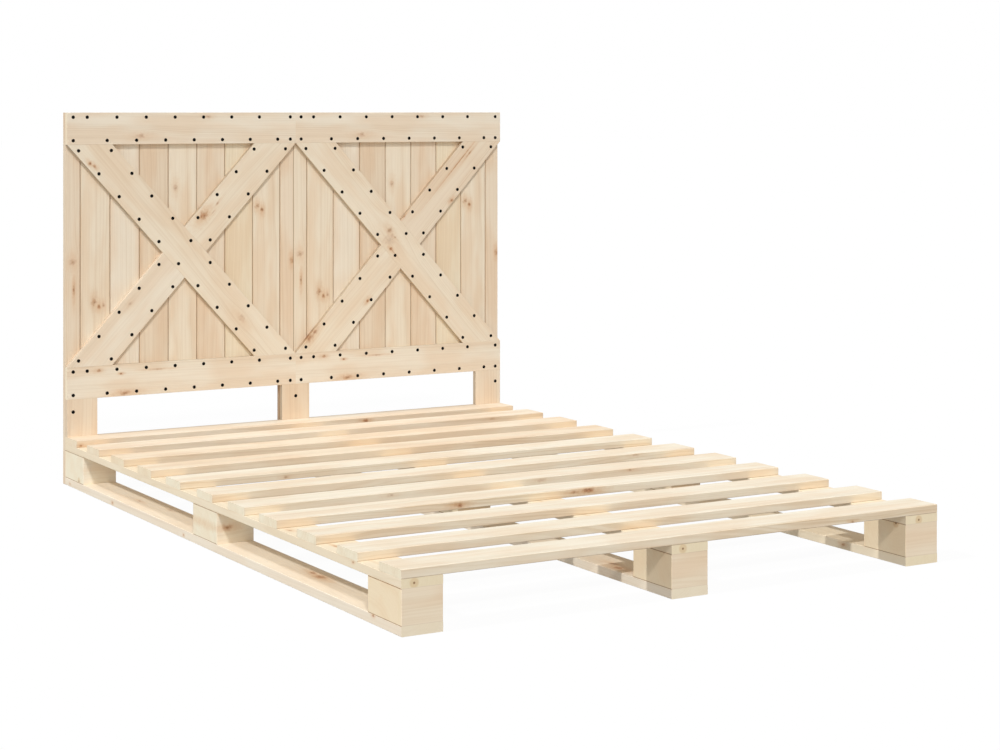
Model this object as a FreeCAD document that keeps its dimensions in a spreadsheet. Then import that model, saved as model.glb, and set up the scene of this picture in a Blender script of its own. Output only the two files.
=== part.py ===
# Pallet style double bed with a barn door headboard.
#
# Three sleds of board, block and board carry eleven cross slats. The headboard
# is two equal panels side by side: a back layer of upright tongued planks and a
# front layer of rails and crossed braces, held together with black nails. The
# outermost planks of each panel run down to the floor behind the sleds and are
# the legs of the headboard. Short leg boards stand on the last slat in front.
#
# X is across the bed, +Y runs from the foot to the headboard and +Z is up. The
# origin is on the floor under the middle of the whole bed. All sizes are in mm.

import FreeCAD, Part
import Sketcher
import os
import re
from FreeCAD import Placement, Rotation, Vector

SLED_NAMES = ("left", "centre", "right")
BLOCK_NAMES = ("foot", "mid", "head")
PANEL_NAMES = ("left", "right")
PLANKS_PER_PANEL = 7
BRACE_NAIL_LEVELS = 10

# Where each slat starts along the free run of the deck. The slats were laid by
# eye, so their pitch wanders by a few millimetres.
SLAT_START_SHARES = (0, 0.101, 0.2045, 0.3095, 0.403, 0.501, 0.606, 0.708, 0.809, 0.9075, 1)

# Driving sizes: name and value. Notes stand above each group.
DRIVING_SIZES = (
    # Clear platform in front of the headboard, which takes the mattress.
    ("platform_width", 1400),
    ("mattress_length", 2000),
    # Sleds, from the floor up, and the slats across them.
    ("sled_width", 95),
    ("bottom_board_thick", 21),
    ("block_height", 75),
    ("block_length", 147),
    ("top_board_thick", 19),
    ("slat_width", 95),
    ("slat_thick", 19),
    # Headboard outline and its front layer.
    ("headboard_height", 1040),
    ("front_layer_thick", 16),
    ("rail_width", 90),
    ("brace_width", 98),
    ("leg_board_width", 88),
    ("leg_board_height", 104),
    # Back layer of tongued planks, with a V joint on the front.
    ("back_layer_thick", 18),
    ("vee_depth", 2.5),
    ("tongue_length", 5),
    ("tongue_thick", 6),
    ("tongue_clearance", 0.2),
    # Eased edges of the deck and sled boards, and of the headboard boards.
    ("deck_edge_round", 1.5),
    ("front_edge_round", 0.8),
    # Black nails of the headboard.
    ("nail_head_diameter", 8),
    ("nail_head_thick", 1.2),
    ("nail_shank_diameter", 3),
    ("nail_length", 28),
    ("nail_point_length", 4),
    # Screws up through the top boards into the slats.
    ("slat_screw_head_diameter", 8),
    ("slat_screw_head_length", 3),
    ("slat_screw_shank_diameter", 4),
    ("slat_screw_length", 35),
    ("slat_screw_point_length", 5),
    ("slat_screw_offset", 25),
    # Long screws through the blocks and through the headboard legs.
    ("long_screw_head_diameter", 12),
    ("long_screw_head_length", 4.5),
    ("long_screw_shank_diameter", 6),
    ("long_screw_length", 108),
    ("long_screw_point_length", 8),
    ("long_screw_recess", 1.5),
    ("block_screw_offset", 40),
    ("leg_screw_offset", 18),
    ("hole_clearance", 0.2),
    # Nail rows on the rails, braces and leg boards.
    ("rail_nail_inset", 11.5),
    ("rail_nail_rise", 65.5),
    ("plank_nail_inset", 14.5),
    ("stile_nail_inset", 17.5),
    ("brace_nail_inset", 13),
    ("brace_end_nail_inset", 17),
    ("joint_nail_gap", 0.5),
    ("leg_nail_drop", 35),
)

# Sizes that follow from the driving ones.
DERIVED_SIZES = (
    ("platform_height", "bottom_board_thick + block_height + top_board_thick + slat_thick"),
    ("base_length", "mattress_length + front_layer_thick"),
    ("bed_length", "base_length + back_layer_thick"),
    ("rail_low", "platform_height + leg_board_height"),
    ("brace_low", "rail_low + rail_width"),
    ("brace_high", "headboard_height - rail_width"),
    ("brace_rise", "brace_high - brace_low"),
    ("panel_width", "platform_width / 2"),
    ("plank_pitch", f"panel_width / {PLANKS_PER_PANEL + 1}"),
    ("slat_run", "base_length - slat_width"),
    ("tongue_front", "(back_layer_thick - tongue_thick) / 2"),
    ("brace_diagonal", "brace_rise^2 + panel_width^2"),
    ("brace_slim_rise", "brace_rise^2 - brace_width^2"),
    ("brace_root", "sqrt(panel_width^2 * brace_width^2 + brace_slim_rise * brace_diagonal)"),
    # Length of the level cut at each end of a brace.
    ("brace_cut", "brace_width * (brace_root - panel_width * brace_width) / brace_slim_rise"),
)

doc = FreeCAD.newDocument("bed_frame")
sheet = doc.addObject("Spreadsheet::Sheet", "sizes")


def fill_sheet():
    """Write the driving sizes as plain numbers and the derived ones as formulas."""
    row = 0
    for name, value in DRIVING_SIZES:
        row += 1
        sheet.set(f"A{row}", name)
        sheet.set(f"B{row}", str(value))
        sheet.setAlias(f"B{row}", name)
    for name, formula in DERIVED_SIZES:
        row += 1
        sheet.set(f"A{row}", name)
        sheet.set(f"B{row}", "=" + formula)
        sheet.setAlias(f"B{row}", name)
    doc.recompute()


fill_sheet()
SIZE_NAMES = [name for name, _ in DRIVING_SIZES + DERIVED_SIZES]


def size(name):
    """Value of one named size."""
    return float(sheet.get(name))


def bound(text):
    """Turn a sum of size names into an expression that reads the sheet."""
    def cell(word):
        return "sizes." + word[0] if word[0] in SIZE_NAMES else word[0]
    return re.sub(r"[a-z][a-z_]+", cell, text)


def value_of(text):
    """Present value of a sum of size names."""
    return float(sheet.evalExpression(bound(text)))


def sketch_outline(body, plane_role, points):
    """Closed outline through points, whose coordinates are sums of size names."""
    sketch = body.newObject("Sketcher::SketchObject", body.Name + "_outline")
    plane = next(item for item in body.Origin.OriginFeatures if item.Role == plane_role)
    sketch.AttachmentSupport = [(plane, "")]
    sketch.MapMode = "FlatFace"
    corners = []
    for across, up in points:
        corners.append(Vector(value_of(across), value_of(up), 0))
    count = len(corners)
    for index in range(count):
        sketch.addGeometry(Part.LineSegment(corners[index], corners[(index + 1) % count]), False)
    for index in range(count):
        sketch.addConstraint(Sketcher.Constraint("Coincident", index, 2, (index + 1) % count, 1))
    for index, (across, up) in enumerate(points):
        pin_corner(sketch, index, "DistanceX", -2, across)
        pin_corner(sketch, index, "DistanceY", -1, up)
    return sketch


def pin_corner(sketch, index, kind, axis, text):
    """Hold one coordinate of an outline's corner on an axis or at a named size."""
    if text == "0":
        sketch.addConstraint(Sketcher.Constraint("PointOnObject", index, 1, axis))
        return
    number = sketch.addConstraint(Sketcher.Constraint(kind, -1, 1, index, 1, value_of(text)))
    sketch.setExpression(f"Constraints[{number}]", bound(text))


def board(label, plane_role, points, depth, place, grain, edge_round):
    """One board: an outline on a plane, padded, its edges along the grain eased."""
    body = doc.addObject("PartDesign::Body", label + "_board")
    pad = body.newObject("PartDesign::Pad", label + "_pad")
    pad.Profile = sketch_outline(body, plane_role, points)
    pad.setExpression("Length", bound(depth))
    pad.Reversed = plane_role == "XZ_Plane"
    body.Tip = pad
    doc.recompute()
    if edge_round:
        names = []
        for number, edge in enumerate(pad.Shape.Edges, start=1):
            if edge.tangentAt(edge.FirstParameter).cross(grain).Length < EDGE_MATCH:
                names.append(f"Edge{number}")
        ease = body.newObject("PartDesign::Fillet", label + "_ease")
        ease.Base = (pad, names)
        ease.setExpression("Radius", bound(edge_round))
        body.Tip = ease
    for axis, text in zip("xyz", place):
        body.setExpression("Placement.Base." + axis, bound(text))
    boards.append((label, body))


def rectangle(across, up):
    """Corners of a rectangle from the local origin."""
    return (("0", "0"), (across, "0"), (across, up), ("0", up))


ALONG_X = Vector(1, 0, 0)
ALONG_Y = Vector(0, 1, 0)
ALONG_Z = Vector(0, 0, 1)
EDGE_MATCH = 1e-6
DECK_ROUND = "deck_edge_round"
FRONT_ROUND = "front_edge_round"
boards = []

FOOT_Y = "-bed_length / 2"
FRONT_Y = FOOT_Y + " + mattress_length"
BACK_Y = FOOT_Y + " + base_length"
SLED_X = {
    "left": "-platform_width / 2",
    "centre": "-sled_width / 2",
    "right": "platform_width / 2 - sled_width",
}
BLOCK_Y = {
    "foot": FOOT_Y,
    "mid": FOOT_Y + " + (base_length - block_length) / 2",
    "head": FOOT_Y + " + base_length - block_length",
}
PANEL_X = {"left": "-panel_width", "right": "0"}


# The sleds: a long board on the floor, three blocks and a long board on them.
def make_sleds():
    for sled in SLED_NAMES:
        across = SLED_X[sled]
        flat = rectangle("sled_width", "bottom_board_thick")
        place = (across, FOOT_Y, "0")
        board(sled + "_bottom_board", "XZ_Plane", flat, "base_length", place, ALONG_Y, DECK_ROUND)
        for block in BLOCK_NAMES:
            foot = rectangle("sled_width", "block_length")
            place = (across, BLOCK_Y[block], "bottom_board_thick")
            board(f"{sled}_{block}_block", "XY_Plane", foot, "block_height", place, ALONG_Z, DECK_ROUND)
        flat = rectangle("sled_width", "top_board_thick")
        place = (across, FOOT_Y, "bottom_board_thick + block_height")
        board(sled + "_top_board", "XZ_Plane", flat, "base_length", place, ALONG_Y, DECK_ROUND)


# The slats lie across the three sleds, the first flush with the foot.
def make_slats():
    for number, share in enumerate(SLAT_START_SHARES, start=1):
        section = rectangle("slat_width", "slat_thick")
        place = ("-platform_width / 2", f"{FOOT_Y} + slat_run * {share}", "platform_height - slat_thick")
        board(f"slat_{number:02d}", "YZ_Plane", section, "platform_width", place, ALONG_X, DECK_ROUND)


# Back layer: planks with a tongue on the right and a groove on the left. The
# front corners of each joint are cut to a V. A stile is half a plank.
def plank_outline(width, grooved, tongued):
    points = []
    tongue_back = "tongue_front + tongue_thick"
    if grooved:
        points += [("0", "vee_depth"), ("vee_depth", "0")]
    else:
        points += [("0", "0")]
    if tongued:
        tip = width + " + tongue_length"
        points += [(width + " - vee_depth", "0"), (width, "vee_depth"), (width, "tongue_front")]
        points += [(tip, "tongue_front"), (tip, tongue_back), (width, tongue_back)]
    else:
        points += [(width, "0")]
    points += [(width, "back_layer_thick"), ("0", "back_layer_thick")]
    if grooved:
        deep = "tongue_length + tongue_clearance"
        front_lip = "tongue_front - tongue_clearance"
        back_lip = tongue_back + " + tongue_clearance"
        points += [("0", back_lip), (deep, back_lip), (deep, front_lip), ("0", front_lip)]
    return points


def make_back_layer():
    half = "plank_pitch / 2"
    high = "headboard_height - brace_low + rail_width"
    for panel in PANEL_NAMES:
        left_stile, right_stile = ("outer", "inner") if panel == "left" else ("inner", "outer")
        start = PANEL_X[panel]
        outline = plank_outline(half, False, True)
        place = (start, BACK_Y, "0")
        board(f"{panel}_{left_stile}_stile", "XY_Plane", outline, "headboard_height", place, ALONG_Z, "")
        for number in range(PLANKS_PER_PANEL):
            outline = plank_outline("plank_pitch", True, True)
            place = (f"{start} + {half} + plank_pitch * {number}", BACK_Y, "rail_low")
            board(f"{panel}_plank_{number + 1}", "XY_Plane", outline, high, place, ALONG_Z, "")
        outline = plank_outline(half, True, False)
        place = (f"{start} + panel_width - {half}", BACK_Y, "0")
        board(f"{panel}_{right_stile}_stile", "XY_Plane", outline, "headboard_height", place, ALONG_Z, "")


# Front layer: a rail along the top and the bottom of each panel, one brace
# right across and one in two halves that butt against it.
def make_front_layer():
    run = "(panel_width - brace_cut)"
    left_apex = (run + " / 2", "brace_rise / 2")
    right_apex = ("(panel_width + brace_cut) / 2", "brace_rise / 2")
    top_apex = ("panel_width / 2", f"brace_rise * panel_width / 2 / {run}")
    bottom_apex = ("panel_width / 2", f"brace_rise * (1 - panel_width / 2 / {run})")
    down_right = Vector(value_of(run), 0, -size("brace_rise")).normalize()
    up_right = Vector(value_of(run), 0, size("brace_rise")).normalize()
    long = (("0", "brace_rise"), (run, "0"), ("panel_width", "0"), ("brace_cut", "brace_rise"))
    upper = (top_apex, right_apex, ("panel_width", "brace_rise"), (run, "brace_rise"))
    lower = (("0", "0"), ("brace_cut", "0"), bottom_apex, left_apex)
    braces = (
        ("long_brace", long, down_right),
        ("upper_short_brace", upper, up_right),
        ("lower_short_brace", lower, up_right),
    )
    for panel in PANEL_NAMES:
        start = PANEL_X[panel]
        section = rectangle("front_layer_thick", "rail_width")
        for rail, low in (("bottom_rail", "rail_low"), ("top_rail", "brace_high")):
            place = (start, FRONT_Y, low)
            board(f"{panel}_{rail}", "YZ_Plane", section, "panel_width", place, ALONG_X, FRONT_ROUND)
        for name, points, grain in braces:
            place = (start, FRONT_Y, "brace_low")
            board(f"{panel}_{name}", "XZ_Plane", points, "front_layer_thick", place, grain, FRONT_ROUND)


LEG_BOARD_X = {
    "left": "-platform_width / 2",
    "centre": "-leg_board_width / 2",
    "right": "platform_width / 2 - leg_board_width",
}


# Short boards that stand on the last slat, in front of the stiles.
def make_leg_boards():
    for leg in SLED_NAMES:
        section = rectangle("leg_board_width", "front_layer_thick")
        place = (LEG_BOARD_X[leg], FRONT_Y, "platform_height")
        board(leg + "_leg_board", "XY_Plane", section, "leg_board_height", place, ALONG_Z, FRONT_ROUND)


def turned(profile):
    """Solid of revolution about Z, from points given as radius and height."""
    wire = Part.makePolygon([Vector(radius, 0, high) for radius, high in profile + profile[:1]])
    return Part.Solid(Part.Face(wire).revolve(Vector(0, 0, 0), ALONG_Z, 360))


def nail_shape():
    """Nail along +Z whose flat head stands on the plane of zero height."""
    head = size("nail_head_diameter") / 2
    shank = size("nail_shank_diameter") / 2
    top = -size("nail_head_thick")
    point = size("nail_length") - size("nail_point_length")
    return turned([(0, top), (head, top), (head, 0), (shank, 0), (shank, point), (0, size("nail_length"))])


def nail_hole():
    gap = size("hole_clearance")
    radius = size("nail_shank_diameter") / 2 + gap
    return turned([(0, 0), (radius, 0), (radius, size("nail_length") + gap), (0, size("nail_length") + gap)])


def screw_shape(kind):
    """Countersunk screw along +Z, its head's flat face at zero height."""
    head = size(kind + "_head_diameter") / 2
    shank = size(kind + "_shank_diameter") / 2
    long = size(kind + "_length")
    neck = size(kind + "_head_length")
    point = long - size(kind + "_point_length")
    return turned([(0, 0), (head, 0), (shank, neck), (shank, point), (0, long)])


def screw_hole(kind, recess):
    """Countersunk hole for that screw, open for the depth of its recess."""
    gap = size("hole_clearance")
    head = size(kind + "_head_diameter") / 2 + gap
    shank = size(kind + "_shank_diameter") / 2 + gap
    long = size(kind + "_length") + gap
    neck = size(kind + "_head_length")
    profile = [(0, -recess), (head, -recess)]
    if recess:
        profile += [(head, 0)]
    return turned(profile + [(shank, neck), (shank, long), (0, long)])


def set_out(shape, places, direction):
    """Copies of a shape at each place, turned from +Z to the direction."""
    turn = Rotation(ALONG_Z, direction)
    copies = []
    for place in places:
        copy = shape.copy()
        copy.Placement = Placement(place, turn)
        copies.append(copy)
    return copies


def rail_nail_places(start, rail_low):
    """Two rows of nails on a rail: each plank is nailed low right and high left."""
    places = []
    pitch = size("plank_pitch")
    low = rail_low + size("rail_nail_inset")
    high = low + size("rail_nail_rise")
    for across in (size("stile_nail_inset"), size("panel_width") - size("stile_nail_inset")):
        places += [(start + across, low), (start + across, high)]
    for number in range(PLANKS_PER_PANEL):
        left_joint = start + pitch / 2 + pitch * number
        places.append((left_joint + size("plank_nail_inset"), high))
        places.append((left_joint + pitch - size("plank_nail_inset"), low))
    return places


def clear_of_joint(across):
    """Move a nail sideways where it would split the tongue of a plank joint."""
    gap = size("nail_shank_diameter") / 2 + size("hole_clearance") + size("joint_nail_gap")
    pitch = size("plank_pitch")
    past = (across + gap - pitch / 2) % pitch - gap
    if past < size("tongue_length") / 2:
        return across - gap - past
    return max(across, across - past + size("tongue_length") + gap)


def brace_nail_places(start):
    """Two rows of nails along each brace, left out where the short one is cut."""
    places = []
    cut = size("brace_cut")
    run = size("panel_width") - cut
    rise = size("brace_rise")
    inset = size("brace_nail_inset") * cut / size("brace_width")
    step = (rise - 2 * size("brace_end_nail_inset")) / (BRACE_NAIL_LEVELS - 1)
    for level in range(BRACE_NAIL_LEVELS):
        up = size("brace_end_nail_inset") + step * level
        long_left = run * (1 - up / rise)
        short_left = run * up / rise
        for across in (inset, cut - inset):
            places.append((start + clear_of_joint(long_left + across), size("brace_low") + up))
            short_place = short_left + across
            if short_place < long_left or short_place > long_left + cut:
                places.append((start + clear_of_joint(short_place), size("brace_low") + up))
    return places


def headboard_nail_places():
    places = []
    for panel in PANEL_NAMES:
        start = value_of(PANEL_X[panel])
        places += rail_nail_places(start, size("rail_low"))
        places += rail_nail_places(start, size("brace_high"))
        places += brace_nail_places(start)
    edge = size("platform_width") / 2 - size("stile_nail_inset")
    for across in (-edge, 0, edge):
        places.append((across, size("rail_low") - size("leg_nail_drop")))
    front = value_of(FRONT_Y)
    return [Vector(across, front, up) for across, up in places]


def slat_screw_places():
    """Two screws at every crossing of a slat and a sled, on a diagonal."""
    places = []
    offset = size("slat_screw_offset")
    low = size("bottom_board_thick") + size("block_height")
    for sled in SLED_NAMES:
        middle = value_of(SLED_X[sled]) + size("sled_width") / 2
        for share in SLAT_START_SHARES:
            along = value_of(FOOT_Y) + size("slat_run") * share + size("slat_width") / 2
            for side in (-offset, offset):
                places.append(Vector(middle + side, along + side, low))
    return places


def block_screw_places():
    """Two long screws up through each block, on the sled's middle line."""
    places = []
    offset = size("block_screw_offset")
    for sled in SLED_NAMES:
        middle = value_of(SLED_X[sled]) + size("sled_width") / 2
        for block in BLOCK_NAMES:
            along = value_of(BLOCK_Y[block]) + size("block_length") / 2
            for side in (-offset, offset):
                places.append(Vector(middle, along + side, size("long_screw_recess")))
    return places


def leg_screw_places():
    """Two long screws from the back through each stile into a head block."""
    places = []
    outer = size("platform_width") / 2 - size("plank_pitch") / 4
    inner = size("plank_pitch") / 4
    back = value_of(BACK_Y) + size("back_layer_thick") - size("long_screw_recess")
    middle = size("bottom_board_thick") + size("block_height") / 2
    for across in (-outer, -inner, inner, outer):
        for side in (-size("leg_screw_offset"), size("leg_screw_offset")):
            places.append(Vector(across, back, middle + side))
    return places


def add_group(label, solids):
    """One node that holds alike fasteners as separate solids."""
    group = doc.addObject("Part::Feature", label)
    group.Shape = Part.makeCompound(solids)
    group.Placement = Placement()
    group.Label = label
    finished.append(group)


def drill(label, body, holes):
    """Take the holes that reach a board out of it, and name the result."""
    box = body.Shape.BoundBox
    near = [hole for hole in holes if hole.BoundBox.intersect(box)]
    tool = doc.addObject("Part::Feature", label + "_holes")
    tool.Shape = Part.makeCompound(near)
    tool.Placement = Placement()
    piece = doc.addObject("Part::Cut", label)
    piece.Base = body
    piece.Tool = tool
    piece.Label = label
    finished.append(piece)


finished = []
make_sleds()
make_slats()
make_back_layer()
make_front_layer()
make_leg_boards()
doc.recompute()

nail_places = headboard_nail_places()
slat_places = slat_screw_places()
block_places = block_screw_places()
leg_places = leg_screw_places()
recess = size("long_screw_recess")
holes = set_out(nail_hole(), nail_places, ALONG_Y)
holes += set_out(screw_hole("slat_screw", 0), slat_places, ALONG_Z)
holes += set_out(screw_hole("long_screw", recess), block_places, ALONG_Z)
holes += set_out(screw_hole("long_screw", recess), leg_places, -ALONG_Y)
for label, body in boards:
    drill(label, body, holes)
add_group("headboard_nails", set_out(nail_shape(), nail_places, ALONG_Y))
add_group("slat_screws", set_out(screw_shape("slat_screw"), slat_places, ALONG_Z))
long_screws = set_out(screw_shape("long_screw"), block_places, ALONG_Z)
long_screws += set_out(screw_shape("long_screw"), leg_places, -ALONG_Y)
add_group("long_screws", long_screws)
doc.recompute()

for item in doc.Objects:
    if "Invalid" in item.State or "Error" in item.State:
        raise RuntimeError(f"{item.Label} did not build: {item.State}")
for piece in finished:
    if piece.Shape.isNull() or not piece.Shape.isValid():
        raise RuntimeError(f"{piece.Label} has no valid shape")

os.makedirs("parts", exist_ok=True)
for piece in finished:
    piece.Shape.exportStep(f"parts/{piece.Label}.step")

whole = Part.makeCompound([piece.Shape for piece in finished]).BoundBox
print(f"{len(finished)} nodes, {len(nail_places)} nails")
print(f"{len(slat_places)} slat screws, {len(long_screws)} long screws")
print(f"bed {whole.XLength:.1f} x {whole.YLength:.1f} x {whole.ZLength:.1f} mm")
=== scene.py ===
# %% [markdown]
# # A pallet bed in raw pine
#
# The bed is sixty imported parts: slats, sled boards, blocks, headboard planks,
# rails, braces, nails and screws. Their shapes come from the frame and stay as
# they are. This script adds what the shapes can't show: the figure of the wood,
# domed nail heads, a white studio and a camera.
#
# The frame is in metres, the sizes below are in millimetres, and MM turns one
# into the other.

# %% Load the frame
import math
import random

import bmesh
import bpy
from mathutils import Matrix, Vector


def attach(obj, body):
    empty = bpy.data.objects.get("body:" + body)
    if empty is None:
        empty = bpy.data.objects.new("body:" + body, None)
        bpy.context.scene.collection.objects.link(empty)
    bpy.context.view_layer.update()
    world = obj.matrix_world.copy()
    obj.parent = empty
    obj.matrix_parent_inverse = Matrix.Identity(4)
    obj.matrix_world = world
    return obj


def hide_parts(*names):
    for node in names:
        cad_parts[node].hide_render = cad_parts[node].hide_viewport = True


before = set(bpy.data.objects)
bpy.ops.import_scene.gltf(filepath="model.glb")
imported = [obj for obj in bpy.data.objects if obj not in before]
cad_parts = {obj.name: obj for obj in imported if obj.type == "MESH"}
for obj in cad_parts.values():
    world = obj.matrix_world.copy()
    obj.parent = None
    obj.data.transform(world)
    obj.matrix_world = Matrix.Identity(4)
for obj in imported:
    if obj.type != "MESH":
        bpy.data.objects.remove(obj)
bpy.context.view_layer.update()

MM = 0.001
print("parts in the frame:", len(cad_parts))

# %% [markdown]
# ## Small helpers
#
# Colours are written as sRGB hex, the way a paint chart gives them. Blender works
# in linear light, so one function converts them. Another adds a node to a
# material and fills its inputs: a plain value is set, and the output of another
# node is linked. Inputs go by name, or by number where a node has several alike:
# in Map Range, 1 and 2 are the range that comes in and 3 and 4 the range that goes
# out, and in a colour Mix, 0 is the share and 6 and 7 are the colours. The last
# one opens a node group, which is built once and used by many materials.

# %% Colours and nodes
def linear(hex_text):
    """Linear colour, with alpha, of an sRGB hex value such as #f7e9d2."""
    channels = []
    for start in (1, 3, 5):
        value = int(hex_text[start:start + 2], 16) / 255
        if value <= 0.04045:
            channels.append(value / 12.92)
        else:
            channels.append(((value + 0.055) / 1.055) ** 2.4)
    return (*channels, 1.0)


def add(tree, kind, inputs=(), **settings):
    """Add a shader node, set its properties, then set or link its inputs."""
    node = tree.nodes.new("ShaderNode" + kind)
    for name, value in settings.items():
        setattr(node, name, value)
    for key, value in dict(inputs).items():
        if isinstance(value, bpy.types.NodeSocket):
            tree.links.new(value, node.inputs[key])
        else:
            node.inputs[key].default_value = value
    return node


def open_group(name, inputs, outputs):
    """Start a node group that several materials share; give its sockets."""
    tree = bpy.data.node_groups.new(name, "ShaderNodeTree")
    for direction, sockets in (("INPUT", inputs), ("OUTPUT", outputs)):
        for label, kind in sockets:
            tree.interface.new_socket(label, in_out=direction,
                                      socket_type="NodeSocket" + kind)
    given = tree.nodes.new("NodeGroupInput").outputs
    result = tree.nodes.new("NodeGroupOutput").inputs
    return tree, given, result


print("mid grey #808080 in linear light:", round(linear("#808080")[0], 3))

# %% [markdown]
# ## A knot
#
# A knot is where a branch grew out of the trunk. On a board it is a soft smudge,
# redder than the wood and drawn out along the grain, with a few dark marks of
# bark in it and a cloudy stain round it. The growth lines swerve past it.
#
# The group adds one knot to those before it. It takes a place in the board, and
# gives back how far the growth lines are pushed aside, and masks for the heart,
# the bark and the stain. A knot in a face runs through the board like a rod, so
# its depth doesn't count, and one in an edge is a ball. Noise makes its outline
# ragged and breaks the bark into marks, as a clean oval would look like a
# sticker. A board with three knots has three of these groups in a row. This is
# cheaper than a random pattern of knots, and puts each one where the real board
# has it.

# %% Knot group: distances
RAGGED_MM = 9.0
RAGGED_BY = 0.9
MARKS_MM = 8.0
MARKS_BETWEEN = (0.36, 0.62)
# Distances from the knot's middle are counted in its radii. Along the grain they
# count for less, so that the push and the stain are longer than the knot itself.
PUSH_LONG = 2.0
STAIN_LONG = 1.8

knot_tree, given, result = open_group(
    "pine_knot",
    (("Place", "Vector"), ("Spot", "Vector"), ("Ball", "Float"), ("Radius", "Float"),
     ("Stretch", "Float"), ("Strength", "Float"), ("Push", "Float"), ("Heart", "Float"),
     ("Bark", "Float"), ("Stain", "Float")),
    (("Push", "Float"), ("Heart", "Float"), ("Bark", "Float"), ("Stain", "Float")),
)
offset = add(knot_tree, "VectorMath", {0: given["Place"], 1: given["Spot"]},
             operation="SUBTRACT")
offset = add(knot_tree, "SeparateXYZ", {0: offset.outputs[0]})
depth = add(knot_tree, "Math", {0: offset.outputs["Z"], 1: given["Ball"]},
            operation="MULTIPLY")
ragged = add(knot_tree, "TexNoise", {
    "Vector": given["Place"], "Scale": 1 / (RAGGED_MM * MM), "Detail": 2.0})
ragged = add(knot_tree, "MapRange", {0: ragged.outputs["Fac"], 3: -RAGGED_BY, 4: RAGGED_BY})
marks = add(knot_tree, "TexNoise", {
    "Vector": given["Place"], "Scale": 1 / (MARKS_MM * MM), "Detail": 0.5})
marks = add(knot_tree, "MapRange", {
    0: marks.outputs["Fac"], 1: MARKS_BETWEEN[0], 2: MARKS_BETWEEN[1]},
    interpolation_type="SMOOTHSTEP")

distances = {}
for label, drawn_out in (("knot", 1.0), ("push", PUSH_LONG), ("stain", STAIN_LONG)):
    length = add(knot_tree, "Math", {0: given["Stretch"], 1: drawn_out},
                 operation="MULTIPLY")
    length = add(knot_tree, "Math", {0: offset.outputs["X"], 1: length.outputs[0]},
                 operation="DIVIDE")
    away = add(knot_tree, "CombineXYZ", {
        "X": length.outputs[0], "Y": offset.outputs["Y"], "Z": depth.outputs[0]})
    away = add(knot_tree, "VectorMath", {0: away.outputs[0]}, operation="LENGTH")
    away = add(knot_tree, "Math", {0: away.outputs["Value"], 1: given["Radius"]},
               operation="DIVIDE")
    distances[label] = away.outputs[0]
print("distances measured from a knot:", ", ".join(distances))

# %% [markdown]
# ## What a knot does to the board
#
# Each mask starts full in the middle and fades over a width of its own, after the
# ragged noise is added to the distance. A knot's mask is joined to that of the
# knots before it by taking the larger one, so knots that overlap don't add up to
# something darker than a knot. The push goes sideways, away from the middle.

# %% Knot group: push and masks
PUSH_REACH = 4.0
PUSH_SHARE = 0.85
MASK_FADES = {
    # mask: distance it goes by, and in radii where it starts to fade and is gone
    "Heart": ("knot", 0.1, 1.6),
    "Bark": ("knot", -0.1, 1.1),
    "Stain": ("stain", 0.0, 3.2),
}

near = add(knot_tree, "MapRange", {
    0: distances["push"], 1: 0.0, 2: PUSH_REACH, 3: PUSH_SHARE, 4: 0.0},
    interpolation_type="SMOOTHSTEP")
push = add(knot_tree, "Math", {
    0: near.outputs[0], 1: offset.outputs["Y"], 2: given["Push"]},
    operation="MULTIPLY_ADD")
knot_tree.links.new(push.outputs[0], result["Push"])

for label, (distance, full, gone) in MASK_FADES.items():
    edge = add(knot_tree, "Math", {0: distances[distance], 1: ragged.outputs[0]},
               operation="ADD")
    mask = add(knot_tree, "MapRange", {
        0: edge.outputs[0], 1: full, 2: gone, 3: 1.0, 4: 0.0},
        interpolation_type="SMOOTHSTEP")
    if label == "Bark":
        mask = add(knot_tree, "Math", {0: mask.outputs[0], 1: marks.outputs[0]},
                   operation="MULTIPLY")
    mask = add(knot_tree, "Math", {0: mask.outputs[0], 1: given["Strength"]},
               operation="MULTIPLY")
    most = add(knot_tree, "Math", {0: mask.outputs[0], 1: given[label]},
               operation="MAXIMUM")
    knot_tree.links.new(most.outputs[0], result[label])
print("knot group:", len(knot_tree.nodes), "nodes")

# %% [markdown]
# ## Growth rings in planed pine
#
# A board is a slice of a trunk, so its figure is what the growth rings leave on
# the cut. The group works in the board's own measure: X along the grain, Y across
# it, Z through it. The distance from the pith, the middle of the trunk, counts
# the rings. Face on they are long lines or arches, and on a sawn end they are
# arcs. A solid pattern gives all of these at once, which a picture laid on each
# face can't.
#
# Slow noise bends the trunk, and the trunk tapers a little, so that the lines run
# out at the faces as arches. The rings of real pine are 2 to 4 mm wide, too fine
# for this picture, so they are drawn two to three times as wide.

# %% Ring group: years from the pith
BEND_MM = (620, 160, 160)

ring_tree, given, result = open_group(
    "pine_rings",
    (("Place", "Vector"), ("Pith", "Vector"), ("Seed", "Vector"), ("Ring", "Float"),
     ("Taper", "Float"), ("Bend", "Float"), ("Push", "Float")),
    (("Late", "Float"), ("Band", "Float"), ("Pith", "Float"), ("Halo", "Float")),
)
place = add(ring_tree, "VectorMath", {0: given["Place"], 1: given["Seed"]}, operation="ADD")
place = add(ring_tree, "VectorMath", {
    0: place.outputs[0], 1: [1 / (mm * MM) for mm in BEND_MM]}, operation="MULTIPLY")
bend = add(ring_tree, "TexNoise", {
    "Vector": place.outputs[0], "Scale": 1.0, "Detail": 4.0, "Roughness": 0.4})
bend = add(ring_tree, "VectorMath", {0: bend.outputs["Color"], 1: (0.5, 0.5, 0.5)},
           operation="SUBTRACT")
bend = add(ring_tree, "VectorMath", {0: bend.outputs[0], "Scale": given["Bend"]},
           operation="SCALE")
trunk = add(ring_tree, "VectorMath", {0: given["Place"], 1: given["Pith"]},
            operation="SUBTRACT")
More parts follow.
